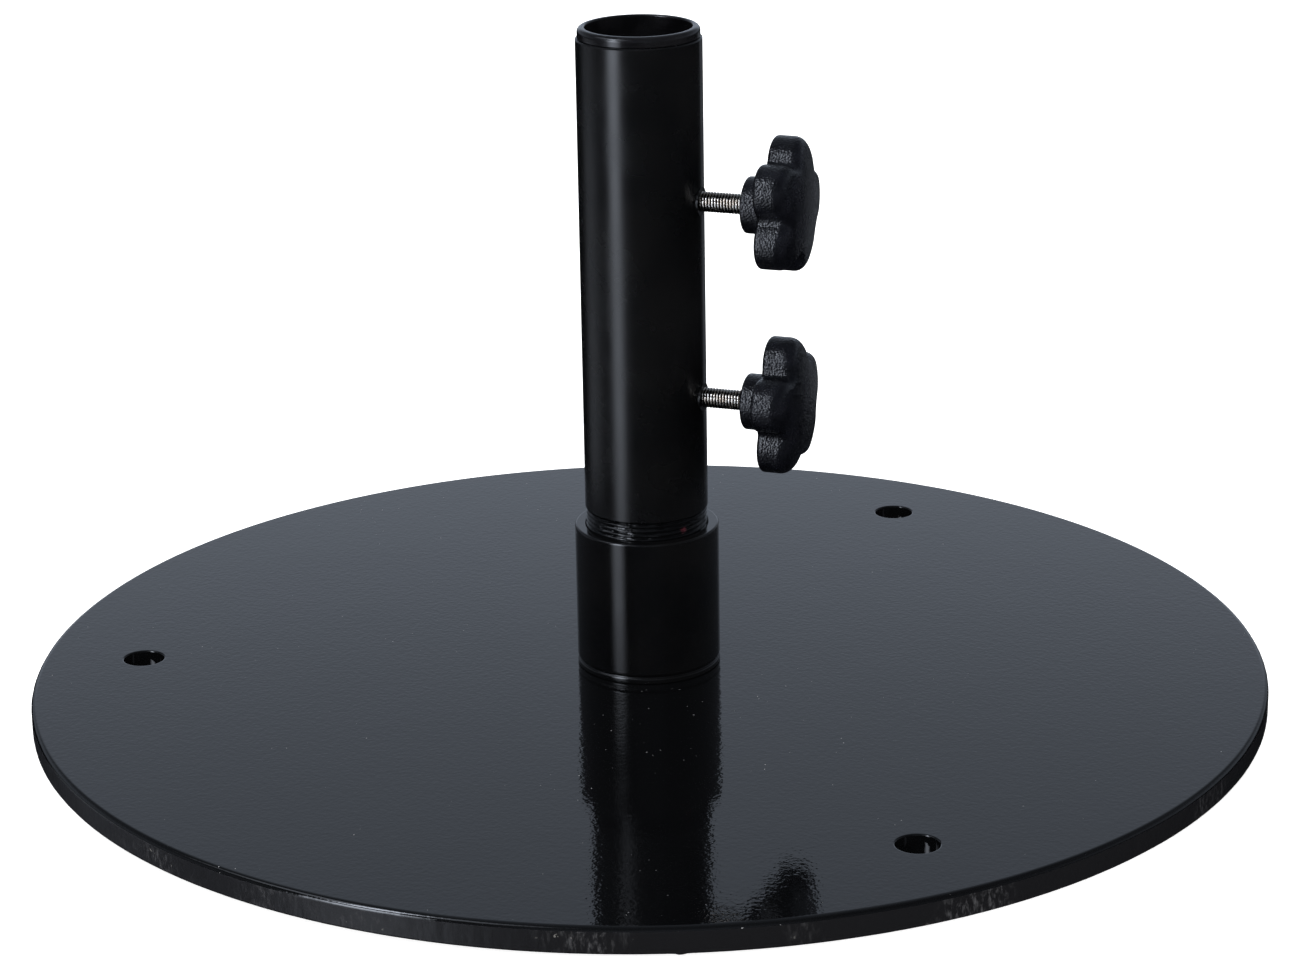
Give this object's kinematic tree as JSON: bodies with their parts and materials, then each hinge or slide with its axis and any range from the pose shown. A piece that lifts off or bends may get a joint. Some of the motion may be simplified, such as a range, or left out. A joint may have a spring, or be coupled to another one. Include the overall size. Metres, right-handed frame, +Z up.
{
  "type": "parasol base",
  "caption": "Heavy round steel parasol base with a screw-in upright tube that takes the pole and star-knob clamp screws that grip it.",
  "frame": {"origin": "on the ground plane under the base, on the axis of the upright stem", "axes": "+Z up along the stem, out of the pole's bore; +X from the stem's axis towards the knobs of the two clamp screws"},
  "size_m": [0.6099, 0.61, 0.3354],
  "materials": {
    "powder_coat_plate": "gloss black powder coat with orange peel",
    "powder_coat_stem": "satin to semi-gloss black powder coat",
    "powder_coat_gloss": "gloss black powder coat",
    "powder_coat_thread": "thick gloss black paint over a pipe thread",
    "insert_plastic": "satin black moulded plastic",
    "stud_steel": "zinc-plated rolled thread",
    "knob_plastic": "fine-textured semi-gloss black plastic",
    "pad_rubber": "matt black rubber"
  },
  "bodies": {
    "base": {"base_plate": "powder_coat_plate", "stem_socket": "powder_coat_gloss", "socket_weld": "powder_coat_gloss", "foot_pad_1": "pad_rubber", "foot_pad_2": "pad_rubber", "foot_pad_3": "pad_rubber", "foot_pad_4": "pad_rubber", "foot_pad_5": "pad_rubber", "foot_pad_6": "pad_rubber"},
    "spigot": {"stem_spigot": "powder_coat_thread"},
    "stem": {"stem_tube": "powder_coat_stem", "upper_thread_bush": "powder_coat_stem", "lower_thread_bush": "powder_coat_stem"},
    "insert": {"pole_insert": "insert_plastic"},
    "upper_screw": {"upper_stud": "stud_steel"},
    "upper_knob": {"upper_knob_head": "knob_plastic"},
    "lower_screw": {"lower_stud": "stud_steel"},
    "lower_knob": {"lower_knob_head": "knob_plastic"}
  },
  "joints": [
    {"name": "stem_rise", "type": "slide", "parent": "base", "child": "spigot", "axis": [0, 0, 1], "range_m": [0, 0.0348]},
    {"name": "stem_turn", "type": "hinge", "parent": "spigot", "child": "stem", "pos_m": [0, 0, 0.1], "axis": [0, 0, 1], "range_deg": [0, 5400]},
    {"name": "insert_lift", "type": "slide", "parent": "stem", "child": "insert", "axis": [0, 0, 1], "range_m": [0, 0.045]},
    {"name": "upper_screw_feed", "type": "slide", "parent": "stem", "child": "upper_screw", "axis": [1, 0, 0], "range_m": [-0.0212, 0.0032]},
    {"name": "upper_knob_turn", "type": "hinge", "parent": "upper_screw", "child": "upper_knob", "pos_m": [0.06, 0, 0.2524], "axis": [1, 0, 0], "range_deg": [-5040, 720]},
    {"name": "lower_screw_feed", "type": "slide", "parent": "stem", "child": "lower_screw", "axis": [1, 0, 0], "range_m": [-0.0212, 0.0032]},
    {"name": "lower_knob_turn", "type": "hinge", "parent": "lower_screw", "child": "lower_knob", "pos_m": [0.06, 0, 0.155], "axis": [1, 0, 0], "range_deg": [-5040, 720]}
  ],
  "couplings": [
    {"joint": "stem_rise", "follows": "stem_turn", "m_per_rad": 0.00036749},
    {"joint": "upper_screw_feed", "follows": "upper_knob_turn", "m_per_rad": 0.00023873},
    {"joint": "lower_screw_feed", "follows": "lower_knob_turn", "m_per_rad": 0.00023873}
  ]
}
